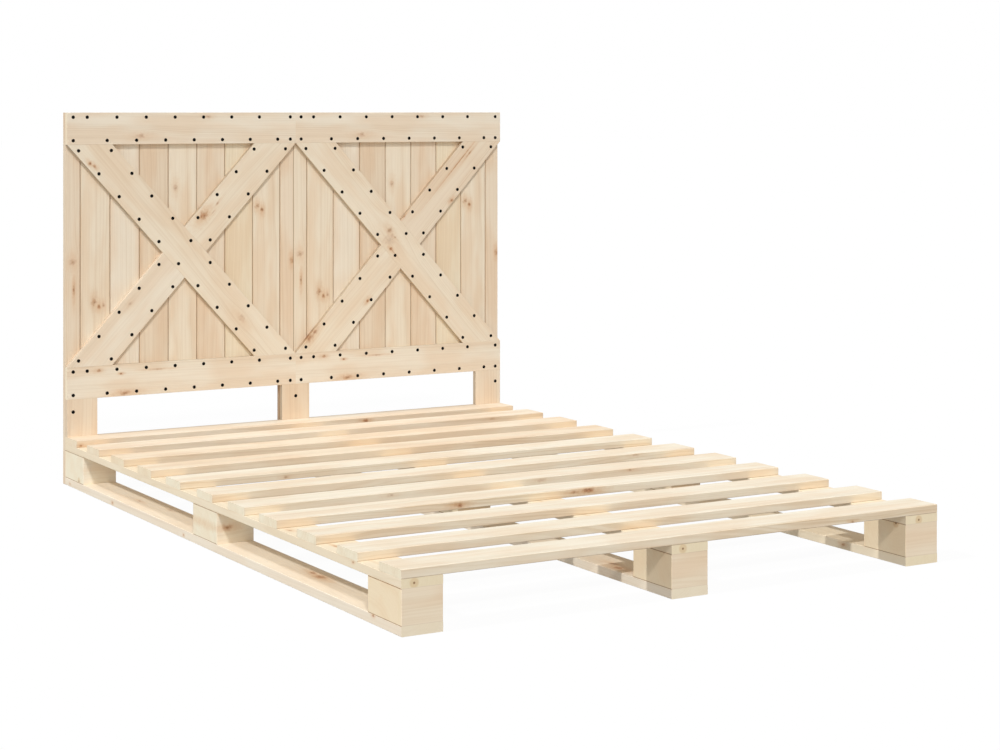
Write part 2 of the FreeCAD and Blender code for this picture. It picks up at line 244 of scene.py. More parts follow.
straight = add(ring_tree, "SeparateXYZ", {0: trunk.outputs[0]})
pith = add(ring_tree, "CombineXYZ", {
    "Y": straight.outputs["Y"], "Z": straight.outputs["Z"]})
pith = add(ring_tree, "VectorMath", {0: pith.outputs[0]}, operation="LENGTH")
trunk = add(ring_tree, "VectorMath", {0: trunk.outputs[0], 1: bend.outputs[0]},
            operation="ADD")
trunk = add(ring_tree, "SeparateXYZ", {0: trunk.outputs[0]})
across = add(ring_tree, "Math", {0: trunk.outputs["Y"], 1: given["Push"]},
             operation="SUBTRACT")
radius = add(ring_tree, "CombineXYZ", {"Y": across.outputs[0], "Z": trunk.outputs["Z"]})
radius = add(ring_tree, "VectorMath", {0: radius.outputs[0]}, operation="LENGTH")
radius = add(ring_tree, "Math", {
    0: trunk.outputs["X"], 1: given["Taper"], 2: radius.outputs["Value"]},
    operation="MULTIPLY_ADD")
years = add(ring_tree, "Math", {0: radius.outputs[0], 1: given["Ring"]}, operation="DIVIDE")
print("nodes that count the years:", len(ring_tree.nodes))

# %% [markdown]
# ## Early and late wood
#
# Each year the tree adds soft pale wood in spring and a hard darker line in
# summer. So a ring darkens slowly and ends at once. A wave made of sines would be
# even on both sides and look like cloth. Good and bad years come in runs, so a
# noise along the years makes bands of close and wide, faint and strong rings. The
# pith itself is a small dark spot with a pale brown halo, which shows on the sawn
# ends of boards from the middle of the trunk.

# %% Ring group: early and late wood
RINGS_PER_BAND = 4
BAND_BETWEEN = (0.3, 0.7)
BAND_FAINTEST = 0.15
RING_UNEVEN = 2.6
# Where the late wood rises and falls, in shares of one ring.
LATE_RISE = (0.35, 0.86)
LATE_FALL = (0.88, 1.0)
PITH_FADE_MM = (1.08, 3.6)
HALO_FADE_MM = (8.0, 12.0)

seed = add(ring_tree, "SeparateXYZ", {0: given["Seed"]})
band = add(ring_tree, "Math", {
    0: years.outputs[0], 1: 1 / RINGS_PER_BAND, 2: seed.outputs["X"]},
    operation="MULTIPLY_ADD")
band = add(ring_tree, "TexNoise", {
    "W": band.outputs[0], "Scale": 1.0, "Detail": 3.0, "Roughness": 0.65},
    noise_dimensions="1D")
band = add(ring_tree, "MapRange", {
    0: band.outputs["Fac"], 1: BAND_BETWEEN[0], 2: BAND_BETWEEN[1]})

year = add(ring_tree, "Math", {0: band.outputs[0], 1: RING_UNEVEN, 2: years.outputs[0]},
           operation="MULTIPLY_ADD")
year = add(ring_tree, "Math", {0: year.outputs[0]}, operation="FRACT")
late = add(ring_tree, "MapRange", {0: year.outputs[0], 1: LATE_RISE[0], 2: LATE_RISE[1]},
           interpolation_type="SMOOTHSTEP")
after = add(ring_tree, "MapRange", {
    0: year.outputs[0], 1: LATE_FALL[0], 2: LATE_FALL[1], 3: 1.0, 4: 0.0},
    interpolation_type="SMOOTHSTEP")
late = add(ring_tree, "Math", {0: late.outputs[0], 1: after.outputs[0]},
           operation="MULTIPLY")
weight = add(ring_tree, "MapRange", {0: band.outputs[0], 3: BAND_FAINTEST, 4: 1.0})
late = add(ring_tree, "Math", {0: late.outputs[0], 1: weight.outputs[0]},
           operation="MULTIPLY")

spot, halo = [
    add(ring_tree, "MapRange", {
        0: pith.outputs["Value"], 1: full * MM, 2: gone * MM, 3: 1.0, 4: 0.0},
        interpolation_type=fading)
    for (full, gone), fading in ((PITH_FADE_MM, "SMOOTHSTEP"), (HALO_FADE_MM, "LINEAR"))
]
for label, mask in (("Late", late), ("Band", band), ("Pith", spot), ("Halo", halo)):
    ring_tree.links.new(mask.outputs[0], result[label])
print("ring group:", len(ring_tree.nodes), "nodes")

# %% [markdown]
# ## Painted shade at the joints
#
# Where two boards meet, their eased edges make a fine groove, and the dark line drawn along
# it is painted shade. The group measures along one axis, up the blocks or across the
# planks, how far a point is from either end of the board, so that only the edges at a joint
# get a line. Sides and sawn ends have their own depth of painted shade, as the lamp rakes
# over some and lights others full on.

# %% Joint shade group
JOINT_FADE_MM = (0.78, 1.69)
END_FROM = 0.5

joint_shade_tree, given, result = open_group(
    "painted_joint_shade",
    (("Place", "Vector"), ("Axis", "Vector"), ("Low", "Float"), ("High", "Float"),
     ("At low", "Float"), ("At high", "Float"), ("Endness", "Float"), ("On side", "Float"),
     ("On end", "Float")),
    (("Line", "Float"),),
)
along = add(joint_shade_tree, "VectorMath", {0: given["Place"], 1: given["Axis"]},
            operation="DOT_PRODUCT").outputs["Value"]
from_low = add(joint_shade_tree, "Math", {0: along, 1: given["Low"]}, operation="SUBTRACT")
from_high = add(joint_shade_tree, "Math", {0: given["High"], 1: along}, operation="SUBTRACT")
line = 0.0
for gap, share in ((from_low, given["At low"]), (from_high, given["At high"])):
    near = add(joint_shade_tree, "MapRange", {
        0: gap.outputs[0], 1: JOINT_FADE_MM[0] * MM, 2: JOINT_FADE_MM[1] * MM,
        3: 1.0, 4: 0.0}, interpolation_type="SMOOTHSTEP")
    line = add(joint_shade_tree, "Math", {0: near.outputs[0], 1: share, 2: line},
               operation="MULTIPLY_ADD").outputs[0]
is_end = add(joint_shade_tree, "Math", {0: given["Endness"], 1: END_FROM},
             operation="GREATER_THAN")
depth = add(joint_shade_tree, "Mix", {
    0: is_end.outputs[0], 2: given["On side"], 3: given["On end"]})
line = add(joint_shade_tree, "Math", {0: line, 1: depth.outputs[0]}, operation="MULTIPLY")
joint_shade_tree.links.new(line.outputs[0], result["Line"])
print("joint group:", len(joint_shade_tree.nodes), "nodes")

# %% [markdown]
# ## Painted shade on the narrow edges
#
# The two wide faces of a board are planed, and the long narrow faces between them are left
# as the saw cut them. These edge faces are tinted darker, and the tint is painted shade: it
# stands in for the lesser light on the edges. The group is given how squarely a point faces
# across the board, and gives back how much of an edge face it is.

# %% Painted edge shade group
SAWN_BETWEEN = (0.5, 0.85)

edge_shade_tree, given, result = open_group(
    "painted_edge_shade", (("Facing", "Float"),), (("Edge shade", "Float"),))
sawn = add(edge_shade_tree, "Math", {0: given["Facing"]}, operation="ABSOLUTE")
sawn = add(edge_shade_tree, "MapRange", {
    0: sawn.outputs[0], 1: SAWN_BETWEEN[0], 2: SAWN_BETWEEN[1]})
edge_shade_tree.links.new(sawn.outputs[0], result["Edge shade"])
print("sawn edge group:", len(edge_shade_tree.nodes), "nodes")

# %% [markdown]
# ## The figure of raw pine
#
# On top of the rings lie fibres along the grain, longer streaks, and slow rosy
# patches where the wood nears the red heart of the trunk. The noises are
# stretched along the grain, since wood is made of long cells. All patterns add up
# to one number, the figure: nought is the pale wood between the rings, one is the
# wood in them. On a sawn end the figure is calmer, as the saw tears the cells.

# %% Pine group: figure
FIBRE_MM = (60, 2.6, 2.6)
STREAK_MM = (380, 7, 7)
PATCH_MM = (230, 60, 60)
# How much each pattern adds to the figure.
BAND_SHARE = 0.22
LATE_SHARE = 0.75
FIBRE_SHARE = 0.22
STREAK_SHARE = 0.38
END_BETWEEN = (0.5, 0.9)
END_CALM = 0.5

pine_tree, given, result = open_group(
    "raw_pine",
    (("Place", "Vector"), ("Seed", "Vector"), ("Late", "Float"), ("Band", "Float"),
     ("Pith", "Float"), ("Halo", "Float"), ("Heart", "Float"), ("Bark", "Float"),
     ("Stain", "Float"), ("Line", "Float"), ("Edge shade", "Float"), ("Figure", "Float"),
     ("Rosy", "Float"), ("Endness", "Float"), ("Between", "Color"), ("Within", "Color"),
     ("Edge shade tint", "Color")),
    (("Color", "Color"), ("Roughness", "Float"), ("Height", "Float")),
)
place = add(pine_tree, "VectorMath", {0: given["Place"], 1: given["Seed"]}, operation="ADD")
noises = {}
for label, spread in (("fibre", FIBRE_MM), ("streak", STREAK_MM), ("patch", PATCH_MM)):
    scaled = add(pine_tree, "VectorMath", {
        0: place.outputs[0], 1: [1 / (mm * MM) for mm in spread]}, operation="MULTIPLY")
    noises[label] = add(pine_tree, "TexNoise", {
        "Vector": scaled.outputs[0], "Scale": 1.0, "Detail": 2.0}).outputs["Fac"]
fibre = add(pine_tree, "MapRange", {0: noises["fibre"], 1: 0.3, 2: 0.7})
streak = add(pine_tree, "MapRange", {0: noises["streak"], 1: 0.5, 2: 0.72},
             interpolation_type="SMOOTHSTEP")
patch = add(pine_tree, "MapRange", {0: noises["patch"], 1: 0.38, 2: 0.62},
            interpolation_type="SMOOTHSTEP")

figure = add(pine_tree, "Math", {0: given["Band"], 1: BAND_SHARE}, operation="MULTIPLY")
for mask, share in ((given["Late"], LATE_SHARE), (fibre.outputs[0], FIBRE_SHARE),
                    (streak.outputs[0], STREAK_SHARE)):
    figure = add(pine_tree, "Math", {0: mask, 1: share, 2: figure.outputs[0]},
                 operation="MULTIPLY_ADD")
end = add(pine_tree, "MapRange", {
    0: given["Endness"], 1: END_BETWEEN[0], 2: END_BETWEEN[1]})
calm = add(pine_tree, "MapRange", {0: end.outputs[0], 3: 1.0, 4: END_CALM})
figure = add(pine_tree, "Math", {0: figure.outputs[0], 1: given["Figure"]},
             operation="MULTIPLY")
figure = add(pine_tree, "Math", {0: figure.outputs[0], 1: calm.outputs[0]},
             operation="MULTIPLY")
rosy = add(pine_tree, "Math", {0: patch.outputs[0], 1: given["Rosy"]}, operation="MULTIPLY")
rosy = add(pine_tree, "Math", {0: rosy.outputs[0], 1: calm.outputs[0]},
           operation="MULTIPLY")
print("nodes that make the figure:", len(pine_tree.nodes))

# %% [markdown]
# ## Colour and surface of raw pine
#
# The figure mixes two colours, pale cream between the rings and straw in them.
# Everything else only takes light away, like a glaze: rosy patches, the yellower sawn ends,
# stain, knots, the pith, and two kinds of painted shade, the dark lines at the joints and
# the darker tint of the narrow edge faces. So each one is a colour that the wood is
# multiplied by, and their order doesn't matter. The fibres also give a fine relief, as a
# plane never leaves pine quite smooth.

# %% Pine group: colour and surface
ROUGH_EARLY = 0.68
ROUGH_LATE = 0.56
HEART_SMOOTHER = -0.14
HEART_HIGHER = 0.9

wood = add(pine_tree, "Mix", {
    0: figure.outputs[0], 6: given["Between"], 7: given["Within"]},
    data_type="RGBA", clamp_factor=False)
layers = (
    # mask, share of it, colour the wood is multiplied by
    (rosy.outputs[0], 1.0, "#f9efe6"),
    (end.outputs[0], 1.0, "#fffdf5"),
    (given["Halo"], 0.7, "#eedfcb"),
    (given["Stain"], 0.8, "#ecd3bb"),
    (given["Heart"], 0.75, "#cda68a"),
    (given["Bark"], 0.6, "#a27a60"),
    (given["Pith"], 0.85, "#8f6c50"),
    # painted shade: the dark line in the grooves at the joints
    (given["Line"], 1.0, "#a78d72"),
)
for mask, share, colour in layers:
    amount = add(pine_tree, "Math", {0: mask, 1: share}, operation="MULTIPLY",
                 use_clamp=True)
    wood = add(pine_tree, "Mix", {
        0: amount.outputs[0], 6: wood.outputs[2], 7: linear(colour)},
        data_type="RGBA", blend_type="MULTIPLY")
# Painted shade: a darker tint on the narrow edge faces of the board.
wood = add(pine_tree, "Mix", {0: given["Edge shade"], 6: wood.outputs[2], 7: given["Edge shade tint"]},
           data_type="RGBA", blend_type="MULTIPLY")

# Late wood is denser and a touch smoother than the soft wood between it.
rough = add(pine_tree, "MapRange", {0: figure.outputs[0], 3: ROUGH_EARLY, 4: ROUGH_LATE})
rough = add(pine_tree, "Math", {
    0: given["Heart"], 1: HEART_SMOOTHER, 2: rough.outputs[0]}, operation="MULTIPLY_ADD")
# The hard heart of a knot stands a hair higher, as it shrinks less than the wood.
height = add(pine_tree, "Math", {
    0: given["Heart"], 1: HEART_HIGHER, 2: fibre.outputs[0]}, operation="MULTIPLY_ADD")
pine_tree.links.new(wood.outputs[2], result["Color"])
pine_tree.links.new(rough.outputs[0], result["Roughness"])
pine_tree.links.new(height.outputs[0], result["Height"])
print("pine group:", len(pine_tree.nodes), "nodes")

# %% [markdown]
# ## Which way each board grew
#
# Every board has its grain along its length, so a table gives for each kind of board the
# grain direction, the direction across it, how strong its figure is and how much darker its
# narrow edge faces are, a tint that is painted shade. A second table says which boards get
# a painted shade line at their joints. The two headboard panels were made alike: a plank or
# rail on the right has the same figure and knots as its twin on the left, 700 mm away.

# %% Kinds of boards
X, Y, Z = Vector((1, 0, 0)), Vector((0, 1, 0)), Vector((0, 0, 1))
BRACE_RUN_MM = 567.4
BRACE_RISE_MM = 622.0
DOWN = Vector((BRACE_RUN_MM, 0, -BRACE_RISE_MM)).normalized()
UP = Vector((BRACE_RUN_MM, 0, BRACE_RISE_MM)).normalized()
PANEL_MM = 700
TONGUE_MM = 5

KINDS = {
    # part of the name: grain, across, width of a ring, figure, rosy, tint of the edge
    # faces, which is painted shade
    "bottom_board": (Y, X, 7.5, 0.5, 0.3, "#ffffff"),
    "top_board": (Y, X, 7.5, 0.5, 0.2, "#ffffff"),
    "block": (X, Z, 8.0, 0.6, 0.7, "#ffffff"),
    "slat": (X, Y, 7.0, 0.95, 0.8, "#faf5ef"),
    "rail": (X, Z, 8.0, 0.65, 0.8, "#f1f1ef"),
    "long_brace": (DOWN, DOWN.cross(Y), 8.0, 0.6, 0.7, "#dbd8d5"),
    "short_brace": (UP, UP.cross(Y), 8.0, 0.6, 0.7, "#dfdcd9"),
    "leg_board": (Z, X, 7.0, 0.6, 0.6, "#f1f1ef"),
    "plank": (Z, X, 7.0, 0.7, 0.8, "#f8f8f7"),
    "stile": (Z, X, 7.0, 0.7, 0.8, "#f8f8f7"),
}
JOINTS = {
    # part of the name: axis, painted shade line at its low and at its high end, depth on
    # sides, on ends
    "block": (Z, 1.0, 1.0, 0.15, 1.0),
    "slat": (Z, 1.0, 0.0, 0.45, 0.0),
    "left_outer_stile": (X, 0.0, 1.0, 0.7, 0.0),
    "right_outer_stile": (X, 1.0, 0.0, 0.7, 0.0),
    "stile": (X, 1.0, 1.0, 0.7, 0.0),
    "plank": (X, 1.0, 1.0, 0.7, 0.0),
}
NO_JOINT = (Z, 0.0, 0.0, 0.0, 0.0)
TWIN_STILES = {
    "right_inner_stile": "left_outer_stile",
    "right_outer_stile": "left_inner_stile",
}


def row_for(name, table, otherwise=None):
    """The first row of a table whose key is part of a board's name."""
    return next((row for part, row in table.items() if part in name), otherwise)


def twin_of(name):
    """The left panel's board with the same figure, or the board itself."""
    if name in TWIN_STILES:
        return TWIN_STILES[name]
    if "plank" in name or "rail" in name:
        return name.replace("right_", "left_")
    return name


twins = [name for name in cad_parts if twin_of(name) != name]
print("boards with a twin:", len(twins))

# %% [markdown]
# ## Tones of the boards
#
# Raw pine runs from almost white to a dusky rose, board by board. Seven tones are
# enough for the eye to see nearly sixty different boards. A tone is a pair of
# colours, between the rings and in them. A board that isn't listed draws its
# tone.

# %% Tones
TONES = {
    # tone: colour between the rings, colour in them
    "pale": ("#f8ecd8", "#eadac2"),
    "cream": ("#f7e9d2", "#e9d6bb"),
    "straw": ("#f7e9cf", "#e8d5b4"),
    "rose": ("#f4e3cb", "#e4cdb0"),
    "dusky": ("#f1dfc6", "#e0c8aa"),
    "honey": ("#f9e8ce", "#ecd6b6"),
    "bright": ("#faf2e0", "#ebddc4"),
}
TONE_OF = {
    "left_plank_1": "cream", "left_plank_2": "pale", "left_plank_3": "dusky",
    "left_plank_4": "cream", "left_plank_5": "rose", "left_plank_6": "straw",
    "left_plank_7": "cream", "left_outer_stile": "rose", "left_inner_stile": "rose",
    "right_inner_stile": "cream",
    "left_top_rail": "pale", "left_bottom_rail": "pale", "left_long_brace": "cream",
    "left_upper_short_brace": "cream", "left_lower_short_brace": "pale",
    "right_long_brace": "cream", "right_upper_short_brace": "rose",
    "right_lower_short_brace": "cream",
    "left_leg_board": "rose", "centre_leg_board": "dusky", "right_leg_board": "rose",
    "slat_01": "bright", "slat_02": "bright", "slat_03": "bright", "slat_04": "bright",
    "slat_05": "bright", "slat_06": "bright", "slat_07": "bright", "slat_08": "cream",
    "slat_09": "cream", "slat_10": "pale", "slat_11": "pale",
    "left_top_board": "straw", "centre_top_board": "straw", "right_top_board": "straw",
    "left_bottom_board": "pale", "left_mid_block": "bright", "left_head_block": "bright",
    "left_foot_block": "honey", "centre_foot_block": "honey", "right_foot_block": "honey",
}
TONES_TO_DRAW = ("pale", "cream", "cream", "straw")
print("tones:", len(TONES), "for", len(TONE_OF), "listed boards")

# %% [markdown]
# ## Knots of the boards
#
# Knots could be strewn at random, but an eye that compares looks for each one in
# its place. So they are listed where the real bed shows them: place in the bed in
# millimetres, radius, how drawn out along the grain, and how strong. A long thin
# one is a streak of pitch.

# %% Knots
KNOTS = {
    # board: x, y, z, radius, drawn out, strength
    "left_long_brace": ((-633, 983, 897, 4, 1.2, 0.9), (-620, 983, 889, 4.5, 1.1, 0.8),
                        (-173, 983, 441, 9, 1.4, 0.35)),
    "left_upper_short_brace": ((-291, 983, 743, 10, 1.2, 1.0),
                               (-250, 983, 776, 2.5, 3.5, 0.5),
                               (-262, 983, 752, 2, 3.0, 0.5)),
    "left_lower_short_brace": ((-516, 983, 498, 5, 1.6, 0.3),),
    "left_plank_1": ((-616, 999, 506, 7, 1.2, 0.7), (-602, 999, 493, 5, 1.1, 0.9),
                     (-588, 999, 496, 4, 1.4, 0.6)),
    "left_plank_4": ((-372, 999, 826, 8, 1.1, 0.45),),
    "left_plank_7": ((-117, 999, 766, 6, 1.1, 0.8), (-102, 999, 755, 5.5, 1.1, 0.9),
                     (-132, 999, 772, 3, 1.2, 0.6)),
    "left_inner_stile": ((-4, 999, 603, 6.5, 1.2, 0.7),),
    "left_outer_stile": ((-679, 999, 621, 9, 1.0, 0.5), (-675, 999, 543, 3, 4.0, 0.85)),
    "left_bottom_rail": ((-608, 983, 314, 4, 1.2, 0.7), (-542, 983, 302, 2.5, 1.4, 1.0),
                         (-530, 983, 247, 6, 2.4, 0.75), (-431, 983, 308, 2, 9.0, 0.6)),
    "left_top_rail": ((-483, 983, 974, 6, 2.0, 0.45), (-278, 983, 1028, 4, 1.8, 0.5)),
    "right_long_brace": ((312, 983, 682, 10, 0.9, 0.55), (312, 983, 655, 22, 0.8, 0.3),
                         (331, 983, 661, 2.5, 2.0, 0.6), (316, 983, 627, 4.5, 1.1, 1.0),
                         (326, 983, 616, 1.6, 6.0, 0.6)),
    "right_upper_short_brace": ((361, 983, 726, 4, 2.2, 0.8),
                                (527, 983, 770, 4.5, 1.1, 1.0),
                                (553, 983, 888, 1.6, 32.0, 0.8),
                                (590, 983, 914, 1.8, 7.0, 0.7)),
    "right_lower_short_brace": ((237, 983, 473, 4.5, 1.1, 1.0), (44, 983, 372, 9, 1.3, 0.9),
                                (62, 983, 388, 5, 1.6, 0.7)),
    "slat_11": ((192, 904, 125, 4, 1.8, 1.0), (-688, 904, 120, 3, 1.3, 0.9)),
    "slat_07": ((-416, 147, 122, 3, 2.0, 0.5),),
    "slat_06": ((510, -55, 130, 3, 3.0, 0.5),),
    "slat_05": ((-320, -243, 128, 3, 3.0, 0.4), (99, -243, 127, 4, 3.0, 0.35),
                (365, -243, 130, 3, 3.0, 0.5)),
    "slat_04": ((-235, -422, 124, 5, 2.0, 1.0), (82, -422, 126, 3, 3.0, 0.6),
                (125, -422, 127, 5.5, 2.6, 1.0)),
    "slat_01": ((449, -1017, 118, 3.5, 1.8, 0.7),),
    "slat_10": ((522, 726, 128, 3, 3.0, 0.4),),
    "left_mid_block": ((-675, -82, 58, 6, 1.8, 0.9),),
    "left_top_board": ((-682, -452, 115, 4, 1.6, 0.8), (-670, -656, 115, 4, 1.8, 0.8),
                       (-665, 690, 115, 4, 1.6, 0.6), (-700, -803, 110, 2, 1.4, 0.8)),
    "left_bottom_board": ((-700, 622, 8, 2.8, 1.2, 0.9), (-700, 125, 8, 2.6, 1.0, 0.8),
                          (-700, 960, 8, 2.6, 1.0, 0.8), (-700, -894, 18, 2.8, 1.2, 0.9),
                          (-642, -524, 21, 10, 1.6, 1.0), (-638, -480, 21, 7, 1.8, 0.8),
                          (-653, 544, 21, 4, 3.0, 0.5), (-632, 385, 21, 4, 3.0, 0.4)),
    "centre_bottom_board": ((-27, -778, 21, 10, 1.6, 0.9), (-12, -735, 21, 7, 2.0, 0.6)),
    "right_bottom_board": ((605, -794, 12, 4, 1.4, 0.9),),
}
# The sawn foot ends of the top boards show the pith, as a small dark spot.
PITH_OF_TOP_BOARDS_MM = {"left": (-18.5, 0.5), "centre": (-18, 0), "right": (-8, 2)}
print("knots placed:", sum(len(row) for row in KNOTS.values()))

# %% [markdown]
# ## Where a board sits in the trunk
#
# A board is measured along its own axes, and the knots are carried over from the
# bed's millimetres to these. The pith lies outside most boards, beside or behind
# them, because a thin board is cut off the side of a log. Only the top boards of
# the sleds come from the middle of one.

# %% Measure, pith and knots of a board
EDGE_MM = 1
PITH_ACROSS_MM = (20, 130)
PITH_THROUGH_MM = (25, 70)


def reach(node, axis):
    """Lowest and highest place of a node's mesh along an axis, in metres."""
    places = [vertex.co.dot(axis) for vertex in node.data.vertices]
    return min(places), max(places)


def tongue_of(name):
    """Width of a board's tongue in metres. It is hidden in the next plank."""
    tongued = "plank" in name or twin_of(name) == "left_outer_stile"
    return TONGUE_MM * MM if tongued else 0.0


def pith_of(name, dice):
    """Where the pith lies, across and through the board, in metres."""
    if "top_board" in name:
        across, through = PITH_OF_TOP_BOARDS_MM[name.split("_")[0]]
    else:
        across = dice.choice((-1, 1)) * dice.uniform(*PITH_ACROSS_MM)
        through = dice.choice((-1, 1)) * dice.uniform(*PITH_THROUGH_MM)
    return (0.0, across * MM, through * MM)


def add_knots(tree, name, place, turn, middle, half_width):
    """Chain one knot group per knot of the board, and give the last one's masks."""
    masks, twin = {}, twin_of(name)
    shift = Vector((PANEL_MM if name != twin else 0, 0, 0))
    for x, y, z, radius, drawn_out, strength in KNOTS.get(twin, ()):
        spot = turn @ ((Vector((x, y, z)) + shift) * MM) - middle
        in_edge = half_width - abs(spot.y) < EDGE_MM * MM
        knot = add(tree, "Group", {
            "Place": place, "Spot": spot, "Ball": float(in_edge), "Radius": radius * MM,
            "Stretch": drawn_out, "Strength": strength, **masks}, node_tree=knot_tree)
        masks = {label: knot.outputs[label] for label in ("Push", "Heart", "Bark", "Stain")}
    return masks


slat_low, slat_high = reach(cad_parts["slat_01"], X)
print("a slat is", round((slat_high - slat_low) / MM), "mm long")

# %% [markdown]
# ## One pine per board
#
# The Mapping node turns Object coordinates so that X runs along the board's
# grain, and puts the origin in the board's middle. One material for all boards
# would let the same ring run on from board to board. A fixed seed per board makes
# the same figure at every run. Raw wood has a weak, broad shine: roughness about
# 0.6 and less specular light than the default, because loose fibres break it up.

# %% Pine material of a board
SEED_SPAN = 40
TAPER_BETWEEN = (0.008, 0.03)
TRUNK_BEND_MM = 30
RELIEF_MM = 0.1


def pine_board(name):
    """Planed pine for one board, in the board's own measure."""
    node, twin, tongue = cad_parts[name], twin_of(name), tongue_of(name)
    grain, across, ring_mm, figure, rosy, edge_shade_tint = row_for(name, KINDS)
    turn = Matrix((grain, across, grain.cross(across)))
    low, high = [Vector(ends) for ends in zip(*(reach(node, axis) for axis in turn))]
    high.y -= tongue
    middle = (low + high) / 2

    dice = random.Random("pine " + twin)
    seed = [dice.uniform(0, SEED_SPAN) for _ in range(3)]
    pith = pith_of(name, dice)
    taper = dice.choice((-1, 1)) * dice.uniform(*TAPER_BETWEEN)
    tone = TONE_OF.get(name) or TONE_OF.get(twin) or dice.choice(TONES_TO_DRAW)

    material = bpy.data.materials.new("planed_pine_" + name)
    material.use_nodes = True
    tree = material.node_tree
    tree.nodes.clear()
    source = add(tree, "TexCoord")
    place = add(tree, "Mapping", {
        "Vector": source.outputs["Object"], "Location": -middle,
        "Rotation": turn.to_euler("XYZ")}).outputs[0]
    end_on = add(tree, "VectorMath", {0: source.outputs["Normal"], 1: grain},
                 operation="DOT_PRODUCT")
    end_on = add(tree, "Math", {0: end_on.outputs["Value"]}, operation="ABSOLUTE")
    facing = add(tree, "VectorMath", {0: source.outputs["Normal"], 1: across},
                 operation="DOT_PRODUCT")

    knots = add_knots(tree, name, place, turn, middle, (high.y - low.y) / 2)
    rings = add(tree, "Group", {
        "Place": place, "Pith": pith, "Seed": seed, "Ring": ring_mm * MM, "Taper": taper,
        "Bend": TRUNK_BEND_MM * MM, "Push": knots.get("Push", 0.0)}, node_tree=ring_tree)
    # The dark line at the joints is painted shade in the grooves.
    axis, at_low, at_high, on_side, on_end = row_for(name, JOINTS, NO_JOINT)
    joint_low, joint_high = reach(node, axis)
    joint = add(tree, "Group", {
        "Place": source.outputs["Object"], "Axis": axis, "Low": joint_low,
        "High": joint_high - tongue, "At low": at_low, "At high": at_high,
        "Endness": end_on.outputs[0], "On side": on_side, "On end": on_end},
        node_tree=joint_shade_tree)
    # The darker tint on the narrow edge faces is painted shade.
    sawn = add(tree, "Group", {"Facing": facing.outputs["Value"]}, node_tree=edge_shade_tree)
    wood = add(tree, "Group", {
        "Place": place, "Seed": seed, "Line": joint.outputs[0], "Edge shade": sawn.outputs[0],
        "Endness": end_on.outputs[0], "Figure": figure, "Rosy": rosy,
        "Edge shade tint": linear(edge_shade_tint),
        "Between": linear(TONES[tone][0]), "Within": linear(TONES[tone][1]),
        **{label: rings.outputs[label] for label in ("Late", "Band", "Pith", "Halo")},
        **{label: knots[label] for label in ("Heart", "Bark", "Stain") if knots}},
        node_tree=pine_tree)
    bump = add(tree, "Bump", {
        "Height": wood.outputs["Height"], "Strength": 0.4, "Distance": RELIEF_MM * MM})
    shader = add(tree, "BsdfPrincipled", {
        "Base Color": wood.outputs["Color"], "Roughness": wood.outputs["Roughness"],
        "Normal": bump.outputs["Normal"], "IOR": 1.45, "Specular IOR Level": 0.3})
    add(tree, "OutputMaterial", {"Surface": shader.outputs[0]})
    return material


print("pine can be made for", len(KINDS), "kinds of boards")

# %% [markdown]
# ## Dress the boards
#
# Every part of the frame that isn't a fastener is a board. Its mesh stays as it
# is, and only its material changes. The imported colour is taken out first, since a
# face keeps the number of its slot and would go on showing it.

# %% Boards
FASTENERS = ("headboard_nails", "slat_screws", "long_screws")
boards = [name for name in sorted(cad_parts) if name not in FASTENERS]
for name in boards:
    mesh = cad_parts[name].data
    mesh.materials.clear()
    mesh.materials.append(pine_board(name))
print("boards dressed:", len(boards))

# %% [markdown]
# ## Where the nails are
#
# The headboard is nailed with black forged-look nails, two rows on every rail and
# brace. They are packed as one mesh. Typing 151 places again would invite
# mistakes, so they are read from it: each nail is one island, found by walking
# along the edges from one vertex to the next.

# %% Places of the nails
def island_boxes(mesh):
    """Low and high corner of each loose part of a mesh."""
    islands = bmesh.new()
    islands.from_mesh(mesh)
    bmesh.ops.remove_doubles(islands, verts=islands.verts, dist=1e-6)
    waiting, boxes = set(islands.verts), []
    while waiting:
        start = waiting.pop()
        found, border = [start], [start]
        while border:
            for link in border.pop().link_edges:
                for vertex in link.verts:
                    if vertex in waiting:
                        waiting.remove(vertex)
                        found.append(vertex)
                        border.append(vertex)
        box = [Vector([pick(vertex.co[axis] for vertex in found) for axis in range(3)])
               for pick in (min, max)]
        boxes.append(box)
    islands.free()
    return sorted(boxes, key=lambda box: tuple(box[0]))


nail_boxes = island_boxes(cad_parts["headboard_nails"].data)
print("nails:", len(nail_boxes))

# %% [markdown]
# ## Heads of the nails
#
# What shows of a nail is the head: a low dome, round but for a few hammer marks.
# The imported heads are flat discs, so they are made again: a short cone for each,
# with its front rim rounded by a bevel. A sphere would be as quick, but would
# bulge too far for a head that was struck flat. They are drawn a bit wider than
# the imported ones, because the real ones look that large from a few steps away.

# %% Nail heads
HEAD_MM = 10.2
HEAD_FRONT_SHARE = 0.8
HEAD_HIGH_MM = 1.2
HEAD_SIDES = 12
RIM_MM = 0.5

heads = bmesh.new()
for low, high in nail_boxes:
    middle = ((low.x + high.x) / 2, low.y + HEAD_HIGH_MM * MM / 2, (low.z + high.z) / 2)
    face_on = Matrix.Translation(middle) @ Matrix.Rotation(math.radians(90), 4, "X")
    bmesh.ops.create_cone(heads, cap_ends=True, segments=HEAD_SIDES,
                          radius1=HEAD_MM / 2 * MM,
                          radius2=HEAD_MM / 2 * HEAD_FRONT_SHARE * MM,
                          depth=HEAD_HIGH_MM * MM, matrix=face_on)
fronts = [face for face in heads.faces if face.normal.y < -0.9]
rims = list({edge for face in fronts for edge in face.edges})
bmesh.ops.bevel(heads, geom=rims, offset=RIM_MM * MM, segments=2, profile=0.5,
                affect="EDGES", material=-1)
for face in heads.faces:
    face.smooth = True
head_mesh = bpy.data.meshes.new("nail_heads")
heads.to_mesh(head_mesh)
heads.free()
